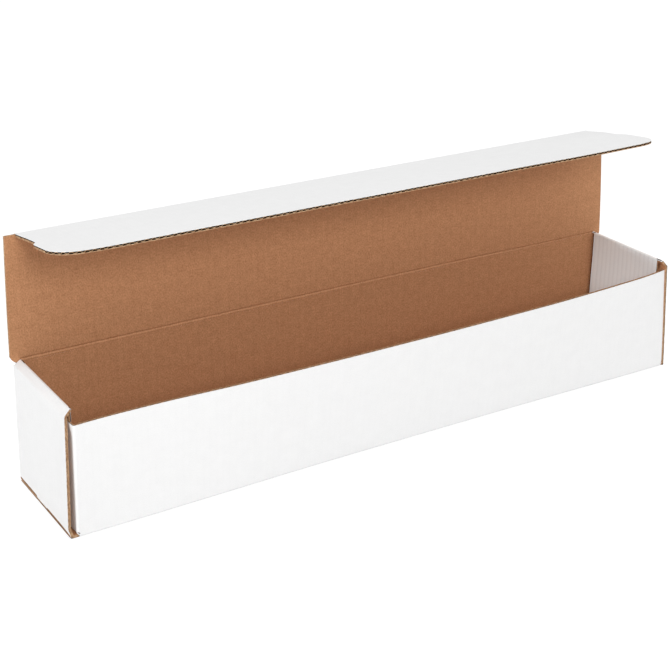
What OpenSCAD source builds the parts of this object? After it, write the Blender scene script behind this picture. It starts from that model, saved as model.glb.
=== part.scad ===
// Long corrugated mailer box, folded from one die-cut sheet.
// The ends roll over into double walls, the lid stands open and its tuck flap points forward.
// Origin: middle of the underside. X runs along the length, -Y is the front, +Z is up.

/* [Tray] */
// Outer length over the end panels
length = 629; // [420:1:900]
// Outer depth over the front and back folds
depth = 108.4; // [90:0.2:180]
// Height of the rolled ends at their inner fold
end_height = 110.5; // [90:0.5:150]
// Height of the front wall
front_height = 101.5; // [70:0.5:105]

/* [Board] */
// Thickness of the corrugated board
board = 2.6; // [1.6:0.1:3]

/* [Front wall] */
// Outward lean of the front wall's top edge at its left end
lean_left = 7; // [0:0.5:10]
// Outward lean of the front wall's top edge at its right end
lean_right = 0; // [0:0.5:10]
// Outward bow of the front wall's top edge between its ends
bow = 7.5; // [0:0.5:10]

/* [Rolled ends] */
// Gap between a corner flap and the inner end panel
flap_gap = 0.1; // [0.1:0.1:1]
// Gap between a corner flap and the outer end panel
roll_gap = 1.1; // [0.4:0.1:4]
// Drop of the rolled strip from its inner fold to its outer fold
strip_drop = 3; // [1:0.1:5]
// Set-back of the outer end panel's raw edges from the front and back faces
panel_setback = 0.5; // [0.2:0.1:2]
// Set-back of the rolled strip and inner end panel from those raw edges
roll_setback = 3.9; // [3.2:0.1:8]
// Clearance under the inner end panel
panel_rest = 0.2; // [0.1:0.1:1]
// Length of the cut at the rear of each end panel's bottom fold
cut_length = 38; // [10:1:45]
// Height of that cut
cut_height = 0.8; // [0.4:0.1:2]

/* [Locking tabs] */
// Width of each tab at the foot of the inner end panel
tab_width = 24; // [12:1:30]
// Distance between the two tabs' middles
tab_spacing = 52; // [34:1:56]
// Clearance of a tab in its slot
tab_clear = 0.4; // [0.2:0.1:0.8]

/* [Corner flaps] */
// Length of each corner flap inside the rolled end
corner_length = 48; // [15:1:54]
// Drop of a corner flap's free end below its wall's top edge
corner_drop = 2; // [0:0.5:6]

/* [Lid] */
// Length of the lid from its crease to the tuck flap's fold
lid_length = 105; // [60:0.5:170]
// Backward lean of the open lid
lid_lean = 0.8; // [0:0.1:10]
// Narrowing of each of the lid's sides from the crease to the tuck flap's fold
lid_taper = 3.5; // [0:0.1:6]
// Corner radius of the lid beside the crease
lid_corner_r = 8; // [3:0.5:20]
// Clearance of the closed lid above the rolled ends
lid_clear = 0.3; // [0.2:0.1:1]
// Gap along a crease
crease_gap = 0.3; // [0.2:0.1:0.6]

/* [Tuck flap] */
// Depth of the tuck flap from its fold to its free edge
tuck_depth = 99.8; // [40:0.2:100]
// Gap between the tuck flap and each inner end panel
tuck_side_gap = 1; // [0.4:0.1:3]
// Depth of the notch beside the fold
notch_depth = 3.3; // [0.5:0.1:6]
// Length of the notch along the flap's side
notch_length = 47; // [5:1:60]
// Corner radius of the flap's free edge
tuck_corner_r = 27; // [5:1:38]
// Angle that the open flap is folded from the plane of the lid
tuck_fold = 83.5; // [45:0.1:100]
// Greatest angle that the flap folds from the plane of the lid
tuck_fold_max = 120; // [101:1:130]

/* [Hidden] */
$fn = 48;

white = [0.95, 0.95, 0.95];
arc_steps = 8;
wall_steps = 12;
join = 1;

half = length / 2;
y_front = -depth / 2;
y_back = depth / 2;
x_panel = half - board;
x_corner = x_panel - roll_gap;
x_corner_in = x_corner - board;
x_inner_out = x_corner_in - flap_gap;
x_inner = x_inner_out - board;

y_panel = depth / 2 - panel_setback;
y_roll = y_panel - roll_setback;
z_inner_fold = end_height - board;
z_outer_fold = z_inner_fold - strip_drop;
strip_tilt = atan2(strip_drop, x_panel - x_inner_out);

y_crease = y_back - board / 2;
z_crease = end_height + lid_clear + board / 2;
back_top = z_crease - board / 2 - crease_gap;
lid_end = lid_length - board / 2 - crease_gap;

tuck_half = x_inner - tuck_side_gap;
tuck_half_fold = tuck_half - notch_depth;

// Points of an arc about c, from angle a0 to a1
function arc(c, r, a0, a1) =
    [for (i = [0 : arc_steps]) let (a = a0 + (a1 - a0) * i / arc_steps) c + r * [cos(a), sin(a)]];

// Outward offset of the front wall's top edge, u from 0 at the left end to 1 at the right end
function wall_out(u) = lean_left * (1 - u) + lean_right * u + bow * 4 * u * (1 - u);

// Extrudes a (Y, Z) outline along X
module along_x(x0, x1) {
    translate([x0, 0, 0])
        rotate([90, 0, 90])
            linear_extrude(height = x1 - x0)
                children();
}

// Extrudes an (X, Z) outline along Y
module along_y(y0, y1) {
    translate([0, y1, 0])
        rotate([90, 0, 0])
            linear_extrude(height = y1 - y0)
                children();
}

// Bottom, its front fold and the back wall
module bottom_and_back() {
    along_x(-x_corner, x_corner)
        polygon(concat(
            [[y_front, board]],
            arc([y_front + board, board], board, 180, 270),
            arc([y_back - board, board], board, 270, 360),
            [[y_back, back_top], [y_back - board, back_top], [y_back - board, board]]
        ));
}

// Front wall, leaning and bowed outwards at its top edge
module front_wall() {
    points = [
        for (i = [0 : wall_steps])
            let (u = i / wall_steps, x = x_corner * (2 * u - 1), out = wall_out(u))
                each [
                    [x, y_front, board],
                    [x, y_front + board, board],
                    [x, y_front + board - out, front_height],
                    [x, y_front - out, front_height]
                ]
    ];
    last = 4 * wall_steps;
    faces = concat(
        [[0, 1, 2, 3], [last + 3, last + 2, last + 1, last]],
        [for (i = [0 : wall_steps - 1], k = [0 : 3])
            let (a = 4 * i + k, b = 4 * i + (k + 1) % 4)
                each [[a, a + 4, b], [b, a + 4, b + 4]]]
    );
    polyhedron(points = points, faces = faces, convexity = 4);
}

// Bottom seen from the front, with both outer end panels folded up
module outer_ends() {
    along_y(-y_panel, y_panel)
        polygon(concat(
            [[-half, z_outer_fold]],
            arc([-half + board, board], board, 180, 270),
            arc([half - board, board], board, 270, 360),
            [[half, z_outer_fold], [x_panel, z_outer_fold], [x_panel, board],
             [-x_panel, board], [-x_panel, z_outer_fold]]
        ));
}

// Rolled strip and inner end panel of the right end
module roll() {
    inner_fold = [x_inner_out, z_inner_fold];
    outer_fold = [x_panel, z_outer_fold];
    along_y(-y_roll, y_roll)
        polygon(concat(
            [[half, z_outer_fold - join]],
            arc(outer_fold, board, 0, 90 - strip_tilt),
            arc(inner_fold, board, 90 - strip_tilt, 180),
            [[x_inner, board + panel_rest], [x_inner_out, board + panel_rest],
             inner_fold, outer_fold, [x_panel, z_outer_fold - join]]
        ));
}

// Tabs at the foot of the right inner end panel
module tabs(clear) {
    for (side = [-1, 1])
        translate([x_inner - clear, side * tab_spacing / 2 - tab_width / 2 - clear, panel_rest - clear])
            cube([board + 2 * clear, tab_width + 2 * clear, board + join + 2 * clear]);
}

// Corner flap of the front wall, at a wall end that leans out by out
module front_corner(out) {
    along_x(x_corner_in, x_corner)
        polygon([
            [y_front, board],
            [y_front - out, front_height],
            [y_front + corner_length, front_height - corner_drop],
            [y_front + corner_length, board + panel_rest]
        ]);
}

// Corner flap of the back wall
module back_corner() {
    along_x(x_corner_in, x_corner)
        polygon([
            [y_back, board],
            [y_back, back_top],
            [y_back - board, back_top],
            [y_back - corner_length, back_top - corner_drop - 2 * board],
            [y_back - corner_length, board + panel_rest]
        ]);
}

// Square raw edge of the bottom at the rear cut of the right end
module rear_edge() {
    translate([x_panel - join, y_panel - cut_length, 0])
        cube([board + join, cut_length, board]);
}

module rear_cut() {
    translate([x_panel - join, y_panel - cut_length, board])
        cube([board + 2 * join, cut_length + join, cut_height]);
}

module end_side() {
    roll();
    tabs(0);
    back_corner();
    rear_edge();
}

module tray() {
    color(white) {
        difference() {
            union() {
                bottom_and_back();
                outer_ends();
            }
            for (side = [0, 1])
                mirror([side, 0, 0]) {
                    tabs(tab_clear);
                    rear_cut();
                }
        }
        front_wall();
        front_corner(lean_right);
        mirror([1, 0, 0])
            front_corner(lean_left);
        for (side = [0, 1])
            mirror([side, 0, 0])
                end_side();
    }
}

// Places children in the lid's own frame, with the crease along X
module at_lid() {
    translate([0, y_crease, z_crease])
        rotate([-lid_lean, 0, 0])
            children();
}

// Rounded edge of the board along a crease
module crease_edge(half_width) {
    rotate([0, 90, 0])
        cylinder(h = 2 * half_width, r = board / 2, center = true);
}

// Room for the tuck flap when it is folded in as far as it goes
module fold_room() {
    inside = 180 - tuck_fold_max;
    reach = board / 2 + crease_gap / 2;
    near = (reach + cos(inside) * board / 2) / sin(inside);
    start = ((board / 2 + crease_gap) * sin(inside) - reach) / cos(inside);
    along_x(-half - join, half + join)
        polygon([
            [-start, lid_end],
            [-board / 2, lid_length - near],
            [-board / 2 - join, lid_length - near],
            [-board / 2 - join, lid_end + join],
            [-start, lid_end + join]
        ]);
}

module lid() {
    color(white)
        at_lid() {
            difference() {
                along_y(-board / 2, board / 2)
                    polygon(concat(
                        arc([-half + lid_corner_r, lid_corner_r], lid_corner_r, 180, 270),
                        arc([half - lid_corner_r, lid_corner_r], lid_corner_r, 270, 360),
                        [[half - lid_taper, lid_end], [-half + lid_taper, lid_end]]
                    ));
                fold_room();
            }
            crease_edge(half - lid_corner_r);
        }
}

module tuck_flap() {
    r = tuck_corner_r;
    color(white)
        at_lid()
            translate([0, 0, lid_length])
                rotate([tuck_fold, 0, 0]) {
                    along_y(-board / 2, board / 2)
                        polygon(concat(
                            [[tuck_half_fold, 0], [tuck_half_fold, notch_length],
                             [tuck_half, notch_length + notch_depth]],
                            arc([tuck_half - r, tuck_depth - r], r, 0, 90),
                            arc([-tuck_half + r, tuck_depth - r], r, 90, 180),
                            [[-tuck_half, notch_length + notch_depth],
                             [-tuck_half_fold, notch_length], [-tuck_half_fold, 0]]
                        ));
                    crease_edge(tuck_half_fold);
                }
}

tray();
lid();
tuck_flap();
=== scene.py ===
import math
import random

import bmesh
import bpy
import numpy as np
from mathutils import Matrix, noise


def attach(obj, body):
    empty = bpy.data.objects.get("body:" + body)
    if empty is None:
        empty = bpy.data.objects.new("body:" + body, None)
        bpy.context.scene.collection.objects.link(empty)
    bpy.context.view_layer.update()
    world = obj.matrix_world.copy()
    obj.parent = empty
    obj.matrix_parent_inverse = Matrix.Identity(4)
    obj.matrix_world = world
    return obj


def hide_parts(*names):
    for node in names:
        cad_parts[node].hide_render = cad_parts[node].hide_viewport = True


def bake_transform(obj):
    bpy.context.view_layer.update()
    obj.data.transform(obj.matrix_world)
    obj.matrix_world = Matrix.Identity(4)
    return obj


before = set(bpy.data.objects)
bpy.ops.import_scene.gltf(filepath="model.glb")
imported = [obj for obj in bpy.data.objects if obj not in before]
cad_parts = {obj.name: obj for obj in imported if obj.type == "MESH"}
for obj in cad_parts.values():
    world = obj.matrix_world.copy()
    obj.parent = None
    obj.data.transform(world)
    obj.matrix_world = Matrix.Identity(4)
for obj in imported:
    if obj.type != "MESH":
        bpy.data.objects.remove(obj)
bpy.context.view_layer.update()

scene = bpy.context.scene
scene.view_settings.view_transform = "Standard"
dice = random.Random(7)

# Sizes are millimetres in the part's frame unless a note says metres, and meshes are made in metres
mm = 0.001
slack = 0.01  # lengths closer than this count as equal
board = {
    "thick": 2.6,
    "pitch": 6.0,  # one flute to the next
    "uvScale": 0.01,  # 100 mm to one unit of the sheet map
    "rimAt": (0.0, 0.10, 0.12, 0.44, 0.46, 0.75, 0.77, 1.0),  # where the lines of a cut edge lie through the board
    # kinds of cut edge: depth of the groove, and what shows in it from the white side to the brown one; the
    # near-black finish laid in the grooves is painted shade
    "cross": (3.2, ("voidShade",) * 5),  # open flutes
    "short": (0.4, ("score", "raw", "raw", "raw", "score")),  # crushed
    "along": (1.5, ("voidShade", "voidShade", "voidShade", "raw", "raw")),  # runs along a flute
    "plain": (0.0, ("raw",) * 5),
}
thick = board["thick"]
sharpFrom = 38  # edges between faces that turn more than this look sharp


def unit(v):
    return v / max(np.linalg.norm(v), 1e-9)


def softCurve(xs, ys, x):
    # smooth line through a few measured points
    xs, ys = np.asarray(xs, float), np.asarray(ys, float)
    slope = np.gradient(ys, xs)
    k = int(np.clip(np.searchsorted(xs, x) - 1, 0, len(xs) - 2))
    h = xs[k + 1] - xs[k]
    t = min(max((x - xs[k]) / h, 0.0), 1.0)
    a, b = 2 * t**3 - 3 * t**2 + 1, t**3 - 2 * t**2 + t
    c, d = -2 * t**3 + 3 * t**2, t**3 - t**2
    return float(a * ys[k] + b * h * slope[k] + c * ys[k + 1] + d * h * slope[k + 1])


def ease(t):
    t = min(max(t, 0.0), 1.0)
    return t * t * (3 - 2 * t)


def mixed(a, b, t):
    return a + (b - a) * t


def wander(x, y, sway, seed):
    # slow, seeded wandering of a sheet; sway is how far and over what length
    amount, size = sway
    return amount * noise.noise((x / size, y / size, seed * 3.7))


def sideways(x):
    return np.array((x, 0, 0))


def newObject(name, data):
    made = bpy.data.objects.new(name, data)
    scene.collection.objects.link(made)
    return made


def newSheet():
    return {"verts": [], "uvs": [], "faces": [], "mats": []}


def newGrid(rows, cols):
    # outer face, inner face, sheet map, and which cells are there
    faces = [np.zeros((rows, cols, size)) for size in (3, 3, 2)]
    return *faces, np.ones((rows - 1, cols - 1), bool)


def midLine(grid, spots):
    # points halfway through the board and the way across it, for the flutes
    outer, inner = grid[:2]
    return [((outer[s] + inner[s]) / 2, unit(outer[s] - inner[s])) for s in spots]


def addPanel(sheet, grid, rimOf, linersOf=lambda i, j: ("white", "kraft")):
    # one stretch of board: two faces from a grid, with cut edges wherever rimOf names a kind
    outer, inner, uv, there = grid
    rows, cols = outer.shape[:2]
    scale = board["uvScale"]
    start = len(sheet["verts"])
    for i in range(rows):
        for j in range(cols):
            for face in (outer, inner):
                sheet["verts"].append(tuple(face[i, j]))
                sheet["uvs"].append(tuple(uv[i, j] * scale))

    def at(i, j, side):
        return start + (i * cols + j) * 2 + side

    turn = 0.0
    for i, j in np.argwhere(there):
        way = np.cross(outer[i, j + 1] - outer[i, j], outer[i + 1, j] - outer[i, j])
        turn += np.dot(way, outer[i, j] - inner[i, j])

    def put(loop, mat):
        sheet["faces"].append(loop if turn > 0 else loop[::-1])
        sheet["mats"].append(places[mat])

    ring, edges = {}, []
    for i, j in np.argwhere(there):
        top, under = linersOf(i, j)
        put([at(i, j, 0), at(i, j + 1, 0), at(i + 1, j + 1, 0), at(i + 1, j, 0)], top)
        put([at(i, j, 1), at(i + 1, j, 1), at(i + 1, j + 1, 1), at(i, j + 1, 1)], under)
        middle = (outer[i:i + 2, j:j + 2] + inner[i:i + 2, j:j + 2]).sum((0, 1)) / 8
        around = (
            ("low", (i, j), (i, j + 1), i - 1, j),
            ("right", (i, j + 1), (i + 1, j + 1), i, j + 1),
            ("high", (i + 1, j + 1), (i + 1, j), i + 1, j),
            ("left", (i + 1, j), (i, j), i, j - 1),
        )
        for side, a, b, ni, nj in around:
            if 0 <= ni < rows - 1 and 0 <= nj < cols - 1 and there[ni, nj]:
                continue
            kind = rimOf(side, i, j)
            if kind is None:
                continue
            edges.append((a, b, kind, top))
            midA, midB = (outer[a] + inner[a]) / 2, (outer[b] + inner[b]) / 2
            out = unit(np.cross(midB - midA, outer[a] - inner[a] + outer[b] - inner[b]))
            if np.dot(out, (midA + midB) / 2 - middle) < 0:
                out = -out
            for key in (a, b):
                ring.setdefault(key, []).append((out, kind))

    lines = {}
    for key, found in ring.items():
        out = found[0][0]
        if len(found) > 1:
            out = (out + found[1][0]) / max(1 + np.dot(out, found[1][0]), 0.5)
        kind = min((k for _, k in found), key=lambda k: board[k][0])
        deep = low = board[kind][0]
        if kind == "along":  # ragged
            deep *= dice.uniform(0.7, 1.2)
            low = deep * dice.uniform(0.08, 0.25)
        ids = [at(*key, 0)]
        for t, into in zip(board["rimAt"][1:-1], (0.0, deep, deep, low, low, 0.0)):
            ids.append(len(sheet["verts"]))
            sheet["verts"].append(tuple(outer[key] * (1 - t) + inner[key] * t - out * into))
            sheet["uvs"].append(tuple(uv[key] * scale + thick * t * scale))
        lines[key] = ids + [at(*key, 1)]
    for a, b, kind, top in edges:
        lip = "white" if top in ("white", "ribbedPaintedLight", "score") else "raw"
        for k, mat in enumerate((lip, *board[kind][1], "raw")):
            put([lines[b][k], lines[a][k], lines[a][k + 1], lines[b][k + 1]], mat)


def makePiece(name, sheet, angle):
    mesh = bpy.data.meshes.new(name)
    mesh.from_pydata([(x * mm, y * mm, z * mm) for x, y, z in sheet["verts"]], [], sheet["faces"])
    layer = mesh.uv_layers.new(name="sheet")
    loopVerts = np.empty(len(mesh.loops), int)
    mesh.loops.foreach_get("vertex_index", loopVerts)
    layer.data.foreach_set("uv", np.asarray(sheet["uvs"], np.float32)[loopVerts].ravel())
    for finish in boardFinishes.values():
        mesh.materials.append(finish)
    mesh.polygons.foreach_set("material_index", np.asarray(sheet["mats"], np.int32))
    bm = bmesh.new()
    bm.from_mesh(mesh)
    bmesh.ops.delete(bm, geom=[v for v in bm.verts if not v.link_faces], context="VERTS")
    bmesh.ops.remove_doubles(bm, verts=bm.verts, dist=8e-6)
    bmesh.ops.dissolve_degenerate(bm, edges=bm.edges, dist=1e-6)
    bm.to_mesh(mesh)
    bm.free()
    mesh.polygons.foreach_set("use_smooth", np.ones(len(mesh.polygons), bool))
    mesh.set_sharp_from_angle(angle=math.radians(angle))
    return newObject(name, mesh)


def panelPiece(name, grid, angle, *kinds):
    sheet = newSheet()
    addPanel(sheet, grid, *kinds)
    return makePiece(name, sheet, angle)


# Finishes

def setInputs(tree, node, inputs):
    for key, value in inputs.items():
        if isinstance(value, bpy.types.NodeSocket):
            tree.links.new(value, node.inputs[key])
        else:
            node.inputs[key].default_value = value


def addNode(tree, kind, inputs={}, **settings):
    node = tree.nodes.new(kind)
    for name, value in settings.items():
        setattr(node, name, value)
    setInputs(tree, node, inputs)
    return node


def newFinish(name):
    mat = bpy.data.materials.new(name)
    mat.use_nodes = True
    return mat, mat.node_tree, mat.node_tree.nodes["Principled BSDF"]


def noiseNode(tree, where, scale, detail, rough, stretch=(1, 1, 1)):
    turn = addNode(tree, "ShaderNodeMapping", {"Vector": where, "Scale": stretch}).outputs["Vector"]
    sizes = {"Vector": turn, "Scale": scale, "Detail": detail, "Roughness": rough}
    return addNode(tree, "ShaderNodeTexNoise", sizes).outputs["Fac"]


def rampNode(tree, value, low, high, start, stop):
    ramp = addNode(tree, "ShaderNodeValToRGB", {"Fac": value})
    for stage, place, colour in zip(ramp.color_ramp.elements, (start, stop), (low, high)):
        stage.position = place
        stage.color = (*colour, 1)
    return ramp.outputs["Color"]


def darkened(tree, colour, amount, value, dark, start, stop):
    shade = rampNode(tree, value, dark, (1, 1, 1), start, stop)
    mix = addNode(tree, "ShaderNodeMix", {"Factor": amount, "A": colour, "B": shade},
                  data_type="RGBA", blend_type="MULTIPLY")
    return mix.outputs["Result"]


def fluteNode(tree, where, distortion):
    # bands that repeat at the flute pitch across the sheet map
    scale = 2 * math.pi / (20 * board["pitch"] * board["uvScale"])
    sizes = {"Vector": where, "Scale": scale, "Distortion": distortion, "Detail": 2, "Detail Scale": 0.6}
    return addNode(tree, "ShaderNodeTexWave", sizes, wave_type="BANDS", bands_direction="X").outputs["Fac"]


def bumpNode(tree, height, strength, distance, **below):
    sizes = {"Height": height, "Strength": strength, "Distance": distance, **below}
    return addNode(tree, "ShaderNodeBump", sizes).outputs["Normal"]


def linerFinish(name, look):
    mat, tree, shader = newFinish(name)
    where = addNode(tree, "ShaderNodeUVMap", uv_map="sheet").outputs["UV"]
    cloud = noiseNode(tree, where, look["cloudScale"], 4, 0.6)
    fibre = noiseNode(tree, where, look["fibreScale"], 3, 0.7, look["fibreStretch"])
    flute = fluteNode(tree, where, look["fluteWander"])
    colour = rampNode(tree, cloud, look["dark"], look["light"], 0.3, 0.7)
    colour = darkened(tree, colour, look["fibreAmount"], fibre, look["fibreDark"], 0.35, 0.62)
    # painted shade: darker bands at the flute pitch for the shade of the washboard ridges; the bump below shapes the
    # ridges themselves
    colour = darkened(tree, colour, look["fluteShadeAmount"], flute, look["fluteShade"], 0.0, 0.55)
    rough = addNode(tree, "ShaderNodeMapRange", {
        "Value": cloud, "To Min": look["rough"] - 0.06, "To Max": look["rough"] + 0.06})
    grain = bumpNode(tree, fibre, look["grainBump"], 0.00006)
    setInputs(tree, shader, {
        "Base Color": colour, "Roughness": rough.outputs["Result"], "Specular IOR Level": look["gloss"],
        "Normal": bumpNode(tree, flute, look["fluteBump"], 0.00025, Normal=grain)})
    return mat


def edgeFinish(name, look):
    mat, tree, shader = newFinish(name)
    where = addNode(tree, "ShaderNodeTexCoord").outputs["Object"]
    patch = noiseNode(tree, where, look["patchScale"], 3, 0.65)
    grit = noiseNode(tree, where, look["gritScale"], 2, 0.6)
    colour = rampNode(tree, patch, look["dark"], look["light"], 0.34, 0.66)
    setInputs(tree, shader, {
        "Base Color": darkened(tree, colour, 0.6, grit, look["gritDark"], 0.3, 0.6),
        "Normal": bumpNode(tree, grit, 0.5, 0.0002), "Roughness": 0.9, "Specular IOR Level": 0.15})
    return mat


whiteLook = {
    "dark": (0.862, 0.862, 0.862), "light": (0.884, 0.884, 0.884), "cloudScale": 9.0,
    "fibreScale": 90.0, "fibreStretch": (1, 1, 1), "fibreDark": (0.955, 0.955, 0.955), "fibreAmount": 0.8,
    "fluteWander": 0.5, "fluteShade": (0.97, 0.97, 0.972), "fluteShadeAmount": 0.2,
    "rough": 0.62, "grainBump": 0.18, "fluteBump": 0.04, "gloss": 0.3,
}
# inside panels' white liner with painted light: a cool tint standing in for the light that reaches them, and stronger
# flute bands painting the washboard's shade
ribbedPaintedLightLook = dict(whiteLook, dark=(0.86, 0.93, 0.96), light=(0.89, 0.955, 0.98), fluteShade=(0.9, 0.9, 0.905),
                  fluteShadeAmount=0.6, fluteBump=0.3)
kraftLook = {
    "dark": (0.538, 0.266, 0.131), "light": (0.621, 0.317, 0.163), "cloudScale": 14.0,
    "fibreScale": 85.0, "fibreStretch": (1.0, 0.7, 1), "fibreDark": (0.72, 0.68, 0.64), "fibreAmount": 1.0,
    "fluteWander": 1.6, "fluteShade": (0.90, 0.885, 0.87), "fluteShadeAmount": 0.28,
    "rough": 0.8, "grainBump": 0.35, "fluteBump": 0.05, "gloss": 0.2,
}
creaseHighlightLook = dict(kraftLook, dark=(0.555, 0.285, 0.147), light=(0.635, 0.338, 0.182))  # painted highlight: lighter kraft for the light line under the score
rawLook = {"dark": (0.36, 0.19, 0.098), "light": (0.66, 0.455, 0.28), "patchScale": 420.0, "gritScale": 2200.0,
           "gritDark": (0.6, 0.5, 0.42)}
scoreLook = dict(rawLook, dark=(0.15, 0.062, 0.026), light=(0.36, 0.19, 0.09), patchScale=330.0, gritScale=2000.0)
# near-black finish for the hollows of open flutes: painted shade, where the voids lie in shadow
voidShadeLook = {"dark": (0.030, 0.014, 0.008), "light": (0.075, 0.036, 0.018), "patchScale": 500.0, "gritScale": 1800.0,
           "gritDark": (0.6, 0.55, 0.5)}
fluteLook = dict(voidShadeLook, dark=(0.42, 0.25, 0.13), light=(0.64, 0.44, 0.27), gritScale=1900.0,
                 gritDark=(0.7, 0.62, 0.55))

boardFinishes = {
    "white": linerFinish("whiteLiner", whiteLook), "kraft": linerFinish("kraftLiner", kraftLook),
    "raw": edgeFinish("rawEdge", rawLook), "voidShade": edgeFinish("paintedVoidShade", voidShadeLook),
    "ribbedPaintedLight": linerFinish("ribbedWhitePaintedLight", ribbedPaintedLightLook), "score": edgeFinish("scoreCut", scoreLook),
    "paintedHighlight": linerFinish("paintedHighlightKraft", creaseHighlightLook),
}
places = {name: k for k, name in enumerate(boardFinishes)}
fluteMedium = edgeFinish("fluteMedium", fluteLook)
print("finishes made")


# The tray: bottom, front and back walls with their corner flaps, and the rolled double ends

trayLook = {
    "frontWall": {"sign": -1, "face": -54.2, "top": 100.4, "corners": (309.9, 313.2), "radius": 2.0,
                  "leans": (1.5, 0.8), "swings": (0.5, -2.6), "flapTop": (100.4, 2.5)},
    "backWall": {"sign": 1, "face": 54.2, "top": 109.1, "corners": (310.8, 310.8), "radius": 2.8,
                 "leans": (0.0, 0.0), "swings": (0.0, 0.0), "flapTop": (104.0, 1.5)},
    "fold": 1.9, "endFold": 0.9, "creaseHalf": 306.5, "sway": (0.22, 60),
    "flapThick": 1.7, "flapEnd": 48.0, "flapLow": 4.6, "flapTilt": 0.3, "flapEase": 12.0,
    "footOut": (3.8, 1.9),  # front wall forward of its place, at the bottom left and right
    "outAt": (-311, -298, -243, -156, -61, 60, 188, 238, 294, 312),  # and along its top edge
    "outBy": (9.1, 8.1, 7.3, 10.6, 11.8, 11.0, 7.3, 4.2, -1.0, -4.4),
    "slotAt": (304.9, 308.5), "tabAt": 26.0, "tabHalf": 12.0, "slotRoom": 0.4,
    "notchFrom": 16.0, "notchIn": 0.15, "notchLift": 2.05,
}
look = trayLook
foldR, creaseHalf = look["fold"], look["creaseHalf"]
frontWall, backWall = look["frontWall"], look["backWall"]
for wall in (frontWall, backWall):
    wall["centres"] = (-wall["corners"][0] + wall["radius"], wall["corners"][1] - wall["radius"])
leftCentre, rightCentre = frontWall["centres"]
backCentre = backWall["centres"][1]
stations = [s * v for s in (-1, 1) for v in (creaseHalf, *look["slotAt"], backCentre)]
wallX = sorted(set([leftCentre, rightCentre] + stations + list(np.linspace(-300, 300, 81))))
tabEdges = [s * look["tabAt"] + d * look["tabHalf"] for s in (-1, 1) for d in (-1, 1)]
crossLines = sorted(tabEdges + [-32, -20, -7, 0, 7, look["notchFrom"], 20, 32])
arcSteps = [0.0, 0.25, 0.5, 0.75]
traySheet = newSheet()


def footOut(x):
    return look["footOut"][0] * ease((-x - 40) / 270) + look["footOut"][1] * ease((x - 100) / 200)


def wallBelt(wall):
    # columns run from the left corner flap's free end, along the wall, to the right one's
    sign, face, top, radius = (wall[k] for k in ("sign", "face", "top", "radius"))
    corners, leans = wall["centres"], wall["leans"]
    flapSteps, foldSteps = [1.0, 0.7, 0.45, 0.25, 0.14, 0.07, 0.035], [1.0, 0.8, 0.6, 0.4, 0.2]
    columns = [("flap", -1, t) for t in flapSteps] + [("fold", -1, t) for t in foldSteps]
    columns += [("wall", 0, x) for x in wallX if corners[0] - slack < x < corners[1] + slack]
    columns += [("fold", 1, t) for t in foldSteps[::-1]] + [("flap", 1, t) for t in flapSteps[::-1]]
    wallRows = [0.0, 0.012, 0.03, 0.06, 0.12, 0.2, 0.3, 0.4, 0.5, 0.6, 0.7, 0.8, 0.88, 0.94, 0.975, 1.0]
    firstRow = len(arcSteps)
    rows, cols = firstRow + len(wallRows), len(columns)
    grid = outer, inner, uv, there = newGrid(rows, cols)
    for j, (kind, end, t) in enumerate(columns):
        side = 0 if end < 0 else 1
        x = t if kind == "wall" else corners[side]
        foot = footOut(x) if sign < 0 else 0.0
        swing = softCurve(look["outAt"], look["outBy"], x) - foot if sign < 0 else 0.0
        slope = math.atan(swing / (top - foldR))
        bent = t if kind == "fold" else 1.0
        low, high = foldR, top
        if kind != "wall":
            low = mixed(foldR, look["flapLow"], bent)
        if kind == "flap":
            high = min(top, wall["flapTop"][0] - wall["flapTop"][1] * t)
        for i, step in enumerate(arcSteps):
            a = step * math.pi / 2
            c = np.array((x, face + sign * (foot - foldR), foldR))
            outer[i, j] = c + np.array((0, sign * math.sin(a), -math.cos(a))) * foldR
            inner[i, j] = c + np.array((0, -sign, 1)) * (thick - foldR)
            uv[i, j] = (x, -foldR * (1 - step))
        for i, q in enumerate(wallRows, firstRow):
            z = mixed(low, high, q)
            rise = (z - foldR) / (top - foldR)
            y = face + sign * (foot + swing * rise)
            if kind == "wall":
                y += wander(x, z, look["sway"], 5 + sign) * q
                x = t - leans[1] * rise * ease((t - 200) / 110) + leans[0] * rise * ease((-t - 200) / 107)
                back, lift = sign * thick * math.cos(slope), thick * math.sin(slope) * q
                outer[i, j], inner[i, j] = (x, y, z), (x, y - back, max(z, thick) + lift)
                if q == 0:
                    inner[i, j] = (x, face + sign * (foot - thick), thick)
                uv[i, j] = (x, z)
                continue
            c = np.array((x - end * leans[side] * rise, y - sign * radius, z))
            a = bent * math.pi / 2
            way = np.array((end * math.sin(a), sign * math.cos(a), 0))
            deep = mixed(thick, look["flapThick"], bent)
            outer[i, j], inner[i, j] = c + way * radius, c + way * (radius - deep)
            along = radius * a
            if kind == "flap":
                back = sign * (abs(face) - look["flapEnd"]) - c[1]
                free = ease(abs(back) * t / look["flapEase"])
                move = np.array((end * (wall["swings"][side] * free - look["flapTilt"] * rise * free), back * t, 0))
                outer[i, j] += move
                inner[i, j] += move
                along += abs(back) * t
            uv[i, j] = (x + end * along, z)
    inWall = [columns[j][0] == columns[j + 1][0] == "wall" for j in range(cols - 1)]
    there[:firstRow, np.logical_not(inWall)] = False

    def rimOf(side, i, j):
        if side == "low" and i == 0:
            return None
        if side != "high":
            return "plain" if i < firstRow else "along"
        if not inWall[j]:
            return "along"
        creased = sign > 0 and max(abs(columns[j][2]), abs(columns[j + 1][2])) <= creaseHalf + slack
        return None if creased else "short"

    addPanel(traySheet, grid, rimOf)
    return midLine(grid, [(-1, j) for j in range(cols) if columns[j][0] == "wall"])


frontEdge = wallBelt(frontWall)
wallBelt(backWall)


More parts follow.
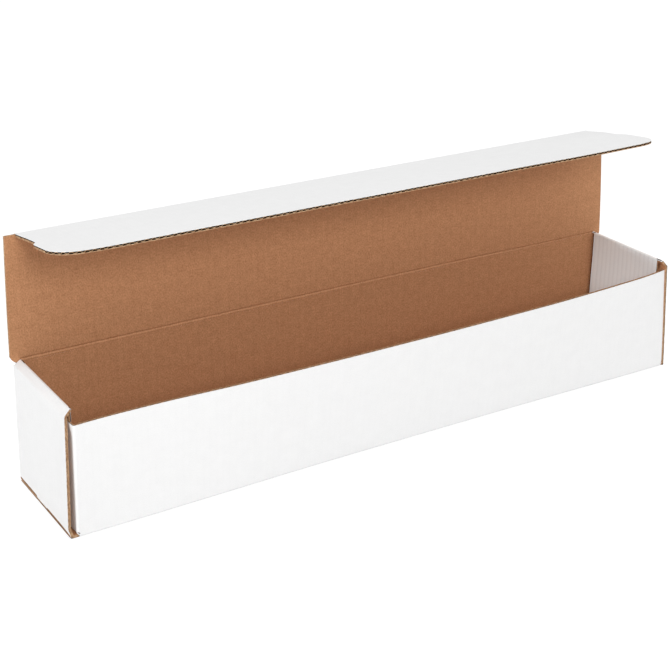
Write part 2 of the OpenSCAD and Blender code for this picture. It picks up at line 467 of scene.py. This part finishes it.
# The two ends roll over: outside panel, sloping top strip and inside panel, all one strip of board
endLook = {
    "left": {"sign": -1, "half": 315.1, "flare": 1.7, "footFront": -57.0, "frontLow": -52.0, "frontHigh": -56.0,
             "stripFront": -54.6, "innerFront": -51.2, "innerFrontLow": -47.0,
             "innerRear": 45.0, "innerRearLow": 44.0,
             "outsideTop": ((312.4, 105.4), (312.5, 107.3)), "outsideRadius": (3.0, 1.0)},
    "right": {"sign": 1, "half": 315.6, "flare": 0.0, "footFront": -55.6, "frontLow": -55.6, "frontHigh": -50.9,
              "stripFront": -50.0, "innerFront": -43.7, "innerFrontLow": -42.5,
              "innerRear": 48.4, "innerRearLow": 48.8,
              "outsideTop": ((312.5, 104.8), (312.5, 105.0)), "outsideRadius": (1.6, 1.2)},
    "rearLow": 53.7, "rearHigh": 52.4, "stripRear": 51.4,
    "insideTop": ((305.0, 113.0), (305.2, 112.8)), "insideRadius": 1.5, "insideX": 305.5, "insideLow": 2.9,
    "flareRatio": 2.45,  # a flared front edge also comes forward by this much
    "flareReach": 24.0, "riseOver": 102.0, "stripThick": 2.3, "insideThick": 1.8, "foldRoom": 0.12,
    "innerSway": (0.5, 50), "outerSway": (0.18, 55), "edgeShake": 0.12,
}
bendRows = 6  # rows round each of the two upper folds


def roundedPath(points, radii, counts):
    # a bent line with rounded corners; gives points and outward normals, the same number for every call
    spots, normals = [], []
    begin = points[0]
    for k in range(len(points) - 1):
        finish, ahead = points[k + 1], unit(points[k + 1] - points[k])
        isLast = k == len(points) - 2
        if not isLast:
            b = unit(points[k + 2] - points[k + 1])
            cut = radii[k] / math.tan(math.acos(np.clip(np.dot(-ahead, b), -1, 1)) / 2)
            finish = points[k + 1] - ahead * cut
        way = unit(finish - begin)
        for t in counts[k]:
            spots.append(mixed(begin, finish, t))
            normals.append(np.array((way[1], -way[0])))
        if not isLast:
            nA, nB = np.array((ahead[1], -ahead[0])), np.array((b[1], -b[0]))
            centre = finish - nA * radii[k]
            sweep = math.acos(np.clip(np.dot(nA, nB), -1, 1))
            for t in np.linspace(0, 1, bendRows + 2)[1:-1]:
                n = (nA * math.sin((1 - t) * sweep) + nB * math.sin(t * sweep)) / math.sin(sweep)
                spots.append(centre + n * radii[k])
                normals.append(n)
            begin = points[k + 1] + b * cut
    return spots, normals


def between(pair, share):
    return np.asarray(pair[0]) * (1 - share) + np.asarray(pair[1]) * share


def notched(column):
    # where the bottom is cut free of the end panel
    return column in ("innerRear", "rear") or (not isinstance(column, str) and column >= look["notchFrom"])


def rolledEnd(end):
    sign, half, endFold = end["sign"], end["half"], look["endFold"]
    columns = ["front", "innerFront"] + crossLines + ["innerRear", "rear"]
    panelSteps = [0.0, 0.008, 0.016, 0.026] + list(np.linspace(0.032, 1, 45))
    stripSteps = [0.0, 0.33, 0.67, 1.0]
    innerSteps = list(np.linspace(0, 1, 22)) + [1.024]  # the last for the tabs
    panelStart = len(arcSteps)
    panelStop = panelStart + len(panelSteps)  # first row of the outside fold
    stripStart = panelStop + bendRows
    stripStop = stripStart + len(stripSteps)
    innerStart = stripStop + bendRows
    rows, cols = innerStart + len(innerSteps), len(columns)
    grid = outer, inner, uv, there = newGrid(rows, cols)
    rearLow, rearHigh = endLook["rearLow"], endLook["rearHigh"]
    for j, name in enumerate(columns):
        f = {"front": 0.0, "innerFront": 0.08, "innerRear": 0.92, "rear": 1.0}.get(name)
        share = ease((name + rearLow) / (2 * rearLow) if f is None else f)
        radius = between(end["outsideRadius"], share)
        points = [np.array((half, endFold)), between(end["outsideTop"], share), between(endLook["insideTop"], share),
                  np.array((endLook["insideX"], endLook["insideLow"]))]
        spots, normals = roundedPath(points, (radius, endLook["insideRadius"]), (panelSteps, stripSteps, innerSteps))
        length = 0.0
        for i in range(rows):
            if i < panelStart:
                a = arcSteps[i] * math.pi / 2
                n = np.array((math.sin(a), -math.cos(a)))
                p, deep = np.array((half - endFold, endFold)) + n * endFold, 0.0
                length = -endFold * math.pi / 2 * (1 - arcSteps[i])
            else:
                k = i - panelStart
                p, n = spots[k], normals[k]
                if k > 0:
                    length += np.linalg.norm(spots[k] - spots[k - 1])
                deep = mixed(thick, endLook["stripThick"], ease((i - panelStop + 1) / (bendRows + 1)))
                thinner = endLook["insideThick"] - endLook["stripThick"]
                deep += thinner * ease((i - stripStop + 1) / (bendRows + 1))
                if panelStop <= i < stripStart:
                    deep = min(deep, radius - endLook["foldRoom"])
                if stripStop <= i < innerStart:
                    deep = min(deep, endLook["insideRadius"] - endLook["foldRoom"])
            z = p[1]
            up = min(max((z - foldR) / endLook["riseOver"], 0), 1)
            flare = 0.0
            if i < panelStop:  # grows above the bottom and is gone at the top
                flare = end["flare"] * ease(z / 11) * (1 - ease((z - 90) / 10))
            if i < stripStart - 3:
                foot = (end["footFront"] - end["frontLow"]) * (1 - ease((z - 1.0) / 8.0))
                front = mixed(end["frontLow"], end["frontHigh"], up)
                front += foot - endLook["flareRatio"] * flare
                rear = mixed(rearLow, rearHigh, up)
            else:
                roll = ease((i - stripStart + 3) / 5)
                front = mixed(end["frontHigh"], end["stripFront"], roll)
                rear = mixed(rearHigh, endLook["stripRear"], roll)
            down = 1 - up if i >= innerStart else 0.0
            innerFront = mixed(end["innerFront"], end["innerFrontLow"], down)
            innerRear = mixed(end["innerRear"], end["innerRearLow"], down)
            y = {"front": front, "innerFront": innerFront, "innerRear": innerRear, "rear": rear}.get(name, name)
            if name in ("front", "rear") and panelStart <= i < stripStop:
                y += dice.uniform(-endLook["edgeShake"], endLook["edgeShake"])
            bulge = 0.0
            if i >= innerStart:
                bulge = wander(float(y), float(z), endLook["innerSway"], 11 + sign)
            elif panelStart < i < panelStop:
                bulge = wander(float(y), float(z), endLook["outerSway"], 13 + sign) * math.sin(math.pi * up)
            bulge += flare * (1 - ease((float(y) - front) / endLook["flareReach"]))
            q = p - n * deep
            if i < panelStart or (i < panelStart + 5 and q[1] < thick):
                q = np.array((half - thick, thick))  # inside corner of the fold
            outer[i, j] = (sign * (p[0] + bulge), y, p[1])
            inner[i, j] = (sign * (q[0] + bulge), y, q[1])
            uv[i, j] = (y + 200 * sign, length)
        if notched(name):
            for k in range(4):  # cut free of the bottom, a little higher
                i = panelStart + k
                outer[i, j, 2] = inner[i, j, 2] = endFold + look["notchLift"] + 0.02 * k
                inner[i, j, 0] = sign * (half - thick)
    there[innerStart - 1:, (0, -1)] = False  # the inside panel is narrower than the strip
    for j in range(cols - 1):
        a, b = columns[j], columns[j + 1]
        if notched(a):
            there[:panelStart, j] = False
        there[rows - 2, j] &= not isinstance(a, str) and not isinstance(b, str) and any(
            s * look["tabAt"] - look["tabHalf"] <= a and b <= s * look["tabAt"] + look["tabHalf"] for s in (-1, 1))

    def rimOf(side, i, j):
        if side == "low" and i == 0:
            return None
        return "short" if side in ("left", "right") and panelStart <= i < stripStop else "along"

    def linersOf(i, j):
        name = columns[j]
        front = name in ("front", "innerFront") or (not isinstance(name, str) and name < -10)
        if i <= panelStart + (3 if notched(name) else 2 if front else 1):
            return "score", "kraft"
        # the inside panel takes the ribbed white with its painted light
        return "ribbedPaintedLight" if i >= stripStop + 4 else "white", "kraft"

    addPanel(traySheet, grid, rimOf, linersOf)
    return [midLine(grid, [(i, j) for i in range(panelStart + 1, panelStop)]) for j in (0, cols - 1)]


endLines = rolledEnd(endLook["left"]) + rolledEnd(endLook["right"])


def bottomPanel():
    halves = [endLook["left"]["half"], endLook["right"]["half"]]
    edges = [half - look["endFold"] for half in halves]
    outsides = [half - look["notchIn"] for half in halves]
    xs = sorted(set(wallX + [-edges[0], edges[1], -outsides[0], outsides[1]]))
    slotHalf = look["tabHalf"] + look["slotRoom"]
    slotY = [s * look["tabAt"] + d * slotHalf for s in (-1, 1) for d in (-1, 1)]
    ys = sorted(set(slotY + crossLines + [frontWall["face"] + foldR, backWall["face"] - foldR, -45, 45]))
    rows, cols = len(ys), len(xs)
    grid = outer, inner, uv, there = newGrid(rows, cols)
    for i, y in enumerate(ys):
        for j, x in enumerate(xs):
            half = halves[0 if x < 0 else 1]
            yOut = yIn = y
            if i == 0:
                joined = leftCentre - slack < x < rightCentre + slack
                yOut = y - footOut(x) if joined else endLook["left" if x < 0 else "right"]["footFront"]
                yIn = frontWall["face"] - footOut(x) + thick if joined else yOut
            if i == rows - 1:
                joined = abs(x) < backCentre + slack
                yOut = y if joined else endLook["rearLow"]
                yIn = backWall["face"] - thick if joined else yOut
            atFold = abs(abs(x) - half + look["endFold"]) < slack and y < look["notchFrom"] - slack
            xIn = math.copysign(half - thick, x) if atFold else x
            outer[i, j], inner[i, j], uv[i, j] = (x, yOut, 0), (xIn, yIn, thick), (x, yOut)
    for i in range(rows - 1):
        for j in range(cols - 1):
            xm, ym = abs(xs[j] + xs[j + 1]) / 2, (ys[i] + ys[i + 1]) / 2
            inSlot = look["slotAt"][0] < xm < look["slotAt"][1] and abs(abs(ym) - look["tabAt"]) < slotHalf
            if inSlot or (xm > edges[0 if xs[j] < 0 else 1] and ym < look["notchFrom"]):
                there[i, j] = False

    def rimOf(side, i, j):
        xm = (xs[j] + xs[j + 1]) / 2
        if side == "low" and i == 0:
            return None if leftCentre < xm < rightCentre else "short"
        if side == "high" and i == rows - 2:
            return None if abs(xm) < backCentre else "short"
        if side in ("left", "right"):
            x = xs[j] if side == "left" else xs[j + 1]
            if abs(abs(x) - edges[0 if x < 0 else 1]) < slack:
                return None
        return "short"

    addPanel(traySheet, grid, rimOf)


bottomPanel()
tray = makePiece("tray", traySheet, sharpFrom)
print("tray:", len(tray.data.polygons), "faces")


# The lid, its tuck flap and the two creased strips that bend

lidLook = {
    "axis": (52.9, 112.1), "lean": 0.8, "foldAt": 105.0, "zone": 3.0, "sway": (0.35, 90),
    "edgeAt": (-3, 48, 106),  # heights above the crease at which the side edges are given
    "leftEdge": (-315.0, -313.0, -310.1), "rightEdge": (315.0, 312.6, 308.8),
    "earLow": (-3.4, -6.0), "earRadius": (7.5, 3.0), "earTop": (105.4, 102.2), "earMost": 2.4,
    "foldEnds": (-301.2, 288.7), "cornerDrop": 3.0,  # the right top corner is cut lower
    "scoreDepth": 0.8, "scoreWidth": 0.7, "scoreSway": (0.18, 12),
}
flapLook = {
    "axis": (54.366, 217.09), "rise": 7.3, "angle": 83.5, "zone": 3.0, "sway": (0.3, 80),
    "foldHalf": 301.2, "stepFrom": 47.0, "stepTo": 55.5,
    "cornerAt": (0, 279.5, 286, 292.5, 297.5, 301.7, 303.6, 304.6, 305.0),
    "cornerTo": (103.3, 103.3, 102.4, 100.5, 97.0, 91.9, 87.5, 83.5, 79.5),
    "lift": 0.9, "leftLift": 0.7, "rightLift": 1.5, "rightShort": 12.8, "edgeShake": 0.1,
}
lean, rise = math.radians(lidLook["lean"]), math.radians(flapLook["rise"])
lidWay, lidOut = np.array((0, math.sin(lean), math.cos(lean))), np.array((0, math.cos(lean), -math.sin(lean)))
flapWay, flapOut = np.array((0, -math.cos(rise), math.sin(rise))), np.array((0, math.sin(rise), math.cos(rise)))
lidAxis, flapAxis = np.array((0, *lidLook["axis"])), np.array((0, *flapLook["axis"]))
lidX = sorted({*lidLook["foldEnds"], -creaseHalf, creaseHalf, *np.linspace(-296, 296, 75)})


def inFold(*xs):
    low, high = lidLook["foldEnds"]
    return min(xs) > low - slack and max(xs) < high + slack


def onCrease(*xs):
    return max(abs(x) for x in xs) <= creaseHalf + slack


def lidEdge(s, side):
    return softCurve(lidLook["edgeAt"], lidLook["leftEdge" if side < 0 else "rightEdge"], s)


def lidPanel():
    zone = lidLook["zone"]
    top = lidLook["foldAt"] - zone
    outSteps = [0.3, 0.6, 0.82, 0.94, 1.0]
    columns = [("out", -1, t) for t in outSteps[::-1]] + [("in", 0, x) for x in lidX]
    columns += [("out", 1, t) for t in outSteps]
    across = [t if kind == "in" else side * 310 for kind, side, t in columns]
    lines = [("ear", t) for t in (0.0, 0.35, 0.7)]
    lines += [("main", s) for s in (zone, 6, 12, 20, 30, 40, 50, 60, 70, 80, 88, 94, 98, top)]
    lines += [("top", t) for t in (0.4, 0.75, 1.0)]
    rows, cols = len(lines), len(columns)
    firstMain, lastMain = 3, rows - 4
    grid = outer, inner, uv, there = newGrid(rows, cols)
    for j, (kind, side, t) in enumerate(columns):
        which = 0 if across[j] < 0 else 1
        cut, r = 0.0, lidLook["earRadius"][which]
        if kind == "out":  # the ears' corners are round
            fromEdge = (1 - t) * (abs(lidEdge(0, side)) - creaseHalf)
            cut = r - math.sqrt(max(r * r - max(r - fromEdge, 0) ** 2, 0))
        for i, (part, v) in enumerate(lines):
            s = v
            if part == "ear":
                s = (lidLook["earLow"][which] + cut) * (1 - v) + zone * v
                s = min(s, lidLook["earMost"] + 0.5 * v)
            elif part == "top":
                s = mixed(top, lidLook["earTop"][which], v)
            beyond = across[j] - lidLook["foldEnds"][1]
            s -= lidLook["cornerDrop"] * ease((s - 80) / 22) * ease(beyond / 10)
            x = t
            if kind == "out":
                x = side * mixed(creaseHalf, abs(lidEdge(s, side)), t)
            elif abs(t) > 296:  # the last columns narrow with the edge
                x = math.copysign(min(abs(t), abs(lidEdge(s, t)) - 1.2), t)
            fade = max(0.0, min((s - zone) / 12, (top - s) / 12, 1.0))
            mid = lidAxis + lidWay * s + lidOut * (wander(x, s, lidLook["sway"], 3) * fade) + sideways(x)
            outer[i, j], inner[i, j], uv[i, j] = mid + lidOut * thick / 2, mid - lidOut * thick / 2, (x, s + 112)
    for j in range(cols - 1):
        if onCrease(*across[j:j + 2]):
            there[:firstMain, j] = False
        if inFold(*across[j:j + 2]):
            there[lastMain:, j] = False

    def rimOf(side, i, j):
        if side == "low" and i == firstMain and onCrease(*across[j:j + 2]):
            return None
        if side == "high" and i == lastMain - 1 and inFold(*across[j:j + 2]):
            return None
        return "plain"

    return panelPiece("lid", grid, sharpFrom, rimOf)


def flapPanel():
    zone, base, bend = flapLook["zone"], flapLook["foldHalf"], flapLook["stepFrom"]
    corner = [279.5, 283, 286, 289, 292.5, 295, 297.5, 299.6, base, 301.9, 302.8, 303.6, 304.2, 304.6, 305.0]
    xs = sorted([s * v for s in (-1, 1) for v in corner] + list(np.linspace(-272, 272, 69)))
    straight = [zone, 5, 10, 18, 28, 38, 44, 47.4, 48.6, 50, 52, 54, 55.5, 60, 68, 76]
    fractions = [0.15, 0.3, 0.45, 0.6, 0.72, 0.83, 0.92, 1.0]
    rows, cols = len(straight) + len(fractions), len(xs)
    grid = outer, inner, uv, there = newGrid(rows, cols)
    for j, x0 in enumerate(xs):
        last = flapLook["cornerTo"][0]
        if abs(x0) > flapLook["cornerAt"][1]:
            last = softCurve(flapLook["cornerAt"], flapLook["cornerTo"], abs(x0))
        for i, s in enumerate(straight + [mixed(straight[-1], last, t) for t in fractions]):
            x = x0
            if abs(x0) > base:
                grow = ease((s - bend) / (flapLook["stepTo"] - bend))
                x = math.copysign(mixed(base, abs(x0), max(grow, 0.02)), x0)
            elif abs(x0) == base:
                x = math.copysign(base - 0.5 * min(s / 46, 1), x0)
            loose = ease((s - zone) / 30)
            lift = (flapLook["lift"] * s / 103 + flapLook["leftLift"] * ease((-x - 255) / 50)) * loose
            lift += wander(x, s, flapLook["sway"], 9) * loose
            lift += flapLook["rightLift"] * ease((x0 - 220) / 70) * (1 - 0.7 * s / 103) * loose
            if x0 > 0:
                x -= flapLook["rightShort"] * ease(x0 / 270)
            shake = dice.uniform(-flapLook["edgeShake"], flapLook["edgeShake"]) if i == rows - 1 else 0.0
            mid = flapAxis + flapWay * (s + shake) + flapOut * lift + sideways(x)
            outer[i, j], inner[i, j], uv[i, j] = mid + flapOut * thick / 2, mid - flapOut * thick / 2, (x, s + 217)
    for j in range(cols - 1):
        if min(abs(xs[j]), abs(xs[j + 1])) >= base - slack:
            there[:sum(s < bend for s in straight), j] = False

    def rimOf(side, i, j):
        if side == "low" and i == 0:
            return None
        return "cross" if side == "high" else "along"

    return panelPiece("tuckFlap", grid, sharpFrom, rimOf), midLine(grid, [(-1, j) for j in range(cols)])


def stripRim(side, i, j):
    return "plain" if side in ("left", "right") else None


def creaseStrip():
    # between back wall and lid, with the pressed score on the kraft side
    zone = lidLook["zone"]
    steps = [-1.0] + list(np.linspace(-0.9, 0.4, 14)) + [0.6, 0.8, 1.0]

    def scoreAt(x):
        return -0.4 - 0.9 * ease((x + 20) / 320) - 1.1 * ease((x - 120) / 140)

    xs = sorted(x for x in {*wallX, *lidX} if onCrease(x))
    grid = outer, inner, uv, _ = newGrid(len(steps), len(xs))
    for i, t in enumerate(steps):
        h = t * zone
        turn = lean * ease((t + 1) / 2)
        way, out = np.array((0, math.sin(turn), math.cos(turn))), np.array((0, math.cos(turn), -math.sin(turn)))
        for j, x in enumerate(xs):
            dent = lidLook["scoreDepth"] * math.exp(-((h - scoreAt(x)) / lidLook["scoreWidth"]) ** 2)
            dent *= 1 + wander(x, 0, lidLook["scoreSway"], 2)
            ridge = 0.22 * math.exp(-((h - scoreAt(x) + 1.4) / 0.5) ** 2)
            if abs(t) == 1.0:
                dent = ridge = 0.0
            mid = lidAxis + way * h + sideways(x)
            outer[i, j] = mid + out * (thick / 2 - 0.3 * dent)
            inner[i, j] = mid - out * (thick / 2 - dent + ridge)
            uv[i, j] = (x, h + 112)

    def linersOf(i, j):
        # the lower flank of the score takes the lighter kraft, a painted highlight
        return "white", "paintedHighlight" if -1.3 < steps[i] * zone - scoreAt(xs[j]) < -0.3 else "kraft"

    return panelPiece("lidCrease", grid, 60, stripRim, linersOf)


def foldStrip():
    # between lid and tuck flap; laid out flat, then bent round the fold by a weight that grows across it
    zone, angle = flapLook["zone"], math.radians(flapLook["angle"])
    steps = np.linspace(-1, 1, 21)
    xs = [x for x in lidX if inFold(x)]
    slant = unit(lidWay + flapWay)
    reach = zone * float(np.dot(lidWay, slant)) - thick / 2 * abs(float(np.dot(lidOut, slant)))

    def bent(a, h):
        w = (a + zone) / (2 * zone)
        for _ in range(60):
            turn = angle * w
            way = lidWay * math.cos(turn) - lidOut * math.sin(turn)
            out = lidOut * math.cos(turn) + lidWay * math.sin(turn)
            spot = way * a + out * h
            w = 0.5 * w + 0.5 * ease((float(np.dot(spot, slant)) + reach) / (2 * reach))
        return spot

    grid = outer, inner, uv, _ = newGrid(len(steps), len(xs))
    for i, t in enumerate(steps):
        up, down = bent(t * zone, thick / 2), bent(t * zone, -thick / 2)
        for j, x in enumerate(xs):
            outer[i, j], inner[i, j] = flapAxis + up + sideways(x), flapAxis + down + sideways(x)
            uv[i, j] = (x, t * zone + 217)
    return panelPiece("flapFold", grid, 60, stripRim), slant * reach


lid = lidPanel()
tuckFlap, flapEdge = flapPanel()
lidCrease = creaseStrip()
flapFold, foldReach = foldStrip()
print("lid:", len(lid.data.polygons), "faces, flap:", len(tuckFlap.data.polygons), "faces")


# Flutes seen in the cut edges: a wavy paper ribbon that follows each edge, its sizes in metres

fluteSizes = {
    "Pitch": board["pitch"] * mm,
    "Height": thick * (board["rimAt"][5] - board["rimAt"][2]) * mm,
    "Depth": 0.0028,
    "Paper": 0.0005,
    "Steepness": 2.2,
}
# the ribbons' inside faces take the near-black finish, painted shade
fluteFinishes = {"Cut": fluteMedium, "Inside": boardFinishes["voidShade"]}


def fluteTree():
    tree = bpy.data.node_groups.new("fluteRow", "GeometryNodeTree")
    kinds = [("Geometry", "Geometry")]
    kinds += [(name, "Float") for name in fluteSizes] + [(name, "Material") for name in fluteFinishes]
    for name, kind in kinds:
        tree.interface.new_socket(name, in_out="INPUT", socket_type="NodeSocket" + kind)
    tree.interface.new_socket("Geometry", in_out="OUTPUT", socket_type="NodeSocketGeometry")
    given = addNode(tree, "NodeGroupInput").outputs

    def maths(kind, a, b=0.0):
        return addNode(tree, "ShaderNodeMath", {0: a, 1: b}, operation=kind).outputs[0]

    def shape(kind, inputs, **settings):
        return addNode(tree, "GeometryNode" + kind, inputs, **settings).outputs[0]

    def named(name):
        return shape("InputNamedAttribute", {"Name": name}, data_type="FLOAT_VECTOR")

    curve = shape("MeshToCurve", {"Mesh": given["Geometry"]})
    fine = maths("DIVIDE", given["Pitch"], 16.0)
    curve = shape("ResampleCurve", {"Curve": curve, "Length": fine}, mode="LENGTH")
    along = addNode(tree, "GeometryNodeSplineParameter").outputs["Length"]
    wave = maths("SINE", maths("MULTIPLY", maths("DIVIDE", along, given["Pitch"]), 2 * math.pi))
    wave = maths("MAXIMUM", maths("MINIMUM", maths("MULTIPLY", wave, given["Steepness"]), 1.0), -1.0)
    swing = maths("MULTIPLY", maths("SUBTRACT", given["Height"], given["Paper"]), 0.5)
    shift = {0: named("across"), "Scale": maths("MULTIPLY", wave, swing)}
    shift = addNode(tree, "ShaderNodeVectorMath", shift, operation="SCALE").outputs[0]
    curve = shape("SetPosition", {"Geometry": curve, "Offset": shift})
    ribbon = shape("ExtrudeMesh", {"Mesh": shape("CurveToMesh", {"Curve": curve}), "Offset": named("inward"),
                                   "Offset Scale": given["Depth"]}, mode="EDGES")
    body = shape("ExtrudeMesh", {"Mesh": ribbon, "Offset": named("across"), "Offset Scale": given["Paper"],
                                 "Individual": False}, mode="FACES")
    both = addNode(tree, "GeometryNodeJoinGeometry")
    for part in (body, shape("FlipFaces", {"Mesh": ribbon})):
        tree.links.new(part, both.inputs["Geometry"])
    weld = shape("MergeByDistance", {"Geometry": both.outputs["Geometry"], "Distance": 2e-6})
    real = shape("RealizeInstances", {"Geometry": weld})
    facing = addNode(tree, "ShaderNodeVectorMath", {0: shape("InputNormal", {}), 1: named("inward")},
                     operation="DOT_PRODUCT").outputs["Value"]
    # faces deep in the voids get the Inside finish, a painted shade
    shade = shape("SetMaterial", {"Geometry": real, "Material": given["Inside"]})
    paint = shape("SetMaterial", {"Geometry": shade, "Material": given["Cut"],
                                  "Selection": maths("GREATER_THAN", maths("ABSOLUTE", facing), 0.15)})
    addNode(tree, "NodeGroupOutput", {"Geometry": paint})
    return tree


flutes = fluteTree()


def fluteRows(name, rowsOfEdge):
    # rowsOfEdge: lists of (point, across, inward) in millimetres
    verts, edges, fields = [], [], {"across": [], "inward": []}
    for row in rowsOfEdge:
        first = len(verts)
        for spot, over, into in row:
            verts.append(tuple((spot + into * 0.12) * mm))
            fields["across"].append(tuple(over))
            fields["inward"].append(tuple(into))
        edges += [(first + k, first + k + 1) for k in range(len(row) - 1)]
    mesh = bpy.data.meshes.new(name)
    mesh.from_pydata(verts, edges, [])
    for label, values in fields.items():
        field = mesh.attributes.new(label, "FLOAT_VECTOR", "POINT")
        field.data.foreach_set("vector", np.asarray(values, np.float32).ravel())
    guide = newObject(name + "Guide", mesh)
    modifier = guide.modifiers.new("flutes", "NODES")
    modifier.node_group = flutes
    given = {**fluteSizes, **fluteFinishes}
    for item in flutes.interface.items_tree:
        if item.in_out == "INPUT" and item.name in given:
            modifier[item.identifier] = given[item.name]
    bpy.context.view_layer.update()
    ready = guide.evaluated_get(bpy.context.evaluated_depsgraph_get())
    baked = bpy.data.meshes.new_from_object(ready)
    guide.modifiers.clear()
    bpy.data.objects.remove(guide)
    bm = bmesh.new()
    bm.from_mesh(baked)
    bmesh.ops.recalc_face_normals(bm, faces=bm.faces)
    bm.to_mesh(baked)
    bm.free()
    for label in fields:
        baked.attributes.remove(baked.attributes[label])
    return newObject(name, baked)


def inwardLine(line, towards, share=1.0):
    # into the board: square to the edge and to the board, on the side of a point within it
    result = []
    for k, (spot, over) in enumerate(line):
        way = unit(line[min(k + 1, len(line) - 1)][0] - line[max(k - 1, 0)][0])
        into = unit(np.cross(way, over))
        if np.dot(into, towards(spot) - spot) < 0:
            into = -into
        result.append((spot, over, into * share))
    return result


crushed = 0.18  # share of the flutes' depth left in a crushed edge
trayRows = [inwardLine(frontEdge, lambda p: p - np.array((0, 0, 40)), crushed)]
for line in endLines:
    trayRows.append(inwardLine(line, lambda p: p * np.array((1, 0, 1)), crushed))
flapRows = [inwardLine(flapEdge, lambda p: flapAxis + flapWay * 40 + sideways(p[0] * 0.8))]
trayFlutes = fluteRows("trayFlutes", trayRows)
flapFlutes = fluteRows("flapFlutes", flapRows)
print("flutes:", len(trayFlutes.data.polygons), len(flapFlutes.data.polygons), "faces")


# Which body each piece moves with


for piece, body, slot in ((tray, "tray", "tray_board"), (lid, "lid", "lid_board"),
                          (tuckFlap, "tuck_flap", "flap_board"), (trayFlutes, "tray", "tray_board"),
                          (flapFlutes, "tuck_flap", "flap_board")):
    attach(piece, body)
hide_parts("tray")
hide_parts("lid")
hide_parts("tuck_flap")
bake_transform(lidCrease)
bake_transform(flapFold)
print("pieces ride")


# Floor, light and camera, in metres

stageLook = {
    "floorSize": 12.0, "floorZ": -0.0004, "floorColour": (0.86, 0.86, 0.86, 1),
    "floorShade": (0.30, 0.30, 0.30, 1), "floorGlow": 0.80,  # what the camera sees of it
    "skyLow": 0.44, "skyHigh": 1.32, "skyLeft": 0.36,
    "lampsFace": (0, 0, 0.08),
    "side": {"spot": (-5.0, -0.1, 0.95), "size": 1.0, "watts": 76.0},
    "front": {"spot": (-0.55, -1.75, 1.1), "size": 0.6, "watts": 13.4},
}
cameraLook = {"spot": (-0.65108, -0.99318, 0.59668), "yaw": 31.7723, "pitch": 23.4027, "roll": 0.1444, "lens": 77.194}


def cameraRays(tree, others, seen, output):
    # the camera sees one shader, all other light meets another
    isCamera = addNode(tree, "ShaderNodeLightPath").outputs["Is Camera Ray"]
    pick = addNode(tree, "ShaderNodeMixShader", {"Fac": isCamera, 1: others.outputs[0], 2: seen.outputs[0]})
    addNode(tree, output, {"Surface": pick.outputs[0]})


def makeFloor():
    mesh = bpy.data.meshes.new("floor")
    h, z = stageLook["floorSize"] / 2, stageLook["floorZ"]
    mesh.from_pydata([(-h, -h, z), (h, -h, z), (h, h, z), (-h, h, z)], [], [(0, 1, 2, 3)])
    mat = bpy.data.materials.new("paleFloor")
    mat.use_nodes = True
    tree = mat.node_tree
    tree.nodes.clear()
    plain = addNode(tree, "ShaderNodeBsdfDiffuse", {"Color": stageLook["floorColour"]})
    shade = addNode(tree, "ShaderNodeBsdfDiffuse", {"Color": stageLook["floorShade"]})
    glow = addNode(tree, "ShaderNodeEmission", {"Strength": stageLook["floorGlow"]})
    lit = addNode(tree, "ShaderNodeAddShader", {0: shade.outputs[0], 1: glow.outputs[0]})
    cameraRays(tree, plain, lit, "ShaderNodeOutputMaterial")
    mesh.materials.append(mat)
    newObject("floor", mesh)


def makeSky():
    world = bpy.data.worlds.new("softRoom")
    scene.world = world
    world.use_nodes = True
    tree = world.node_tree
    tree.nodes.clear()
    way = addNode(tree, "ShaderNodeTexCoord").outputs["Generated"]
    way = addNode(tree, "ShaderNodeSeparateXYZ", {0: way}).outputs
    upward = addNode(tree, "ShaderNodeMapRange", {
        "Value": way["Z"], "To Min": stageLook["skyLow"], "To Max": stageLook["skyHigh"]})
    leftward = addNode(tree, "ShaderNodeMapRange", {  # dimmer on the left, where the side lamp stands
        "Value": way["X"], "From Min": -1.0, "From Max": 0.1, "To Min": stageLook["skyLeft"], "To Max": 1.0})
    level = addNode(tree, "ShaderNodeMath", {0: upward.outputs["Result"], 1: leftward.outputs["Result"]},
                    operation="MULTIPLY")
    room, backdrop = (addNode(tree, "ShaderNodeBackground", {"Color": (1, 1, 1, 1), "Strength": strength})
                      for strength in (level.outputs[0], 1.0))
    cameraRays(tree, room, backdrop, "ShaderNodeOutputWorld")


def stand(name, data, right, up, back, spot):
    holder = newObject(name, data)
    holder.matrix_world = Matrix([[right[k], up[k], back[k], spot[k]] for k in range(3)] + [[0, 0, 0, 1]])
    return holder


def makeLamp(name, lamp):
    light = bpy.data.lights.new(name, "AREA")
    light.shape = "DISK"
    light.size = lamp["size"]
    light.energy = lamp["watts"]
    back = unit(np.array(lamp["spot"]) - np.array(stageLook["lampsFace"]))
    right = unit(np.cross((0, 0, 1), back))
    stand(name, light, right, np.cross(back, right), back, lamp["spot"])


def makeCamera():
    yaw, pitch, roll = (math.radians(cameraLook[k]) for k in ("yaw", "pitch", "roll"))
    ahead = np.array((math.sin(yaw) * math.cos(pitch), math.cos(yaw) * math.cos(pitch), -math.sin(pitch)))
    right = np.array((math.cos(yaw), -math.sin(yaw), 0))
    up = np.cross(right, ahead)
    right, up = math.cos(roll) * right + math.sin(roll) * up, -math.sin(roll) * right + math.cos(roll) * up
    camera = bpy.data.cameras.new("camera")
    camera.sensor_fit = "HORIZONTAL"
    camera.lens = cameraLook["lens"]
    camera.clip_start, camera.clip_end = 0.01, 50
    scene.camera = stand("camera", camera, right, up, -ahead, cameraLook["spot"])


makeFloor()
makeSky()
makeLamp("sideLamp", stageLook["side"])
makeLamp("frontLamp", stageLook["front"])
makeCamera()
print("stage made")

bpy.context.view_layer.update()
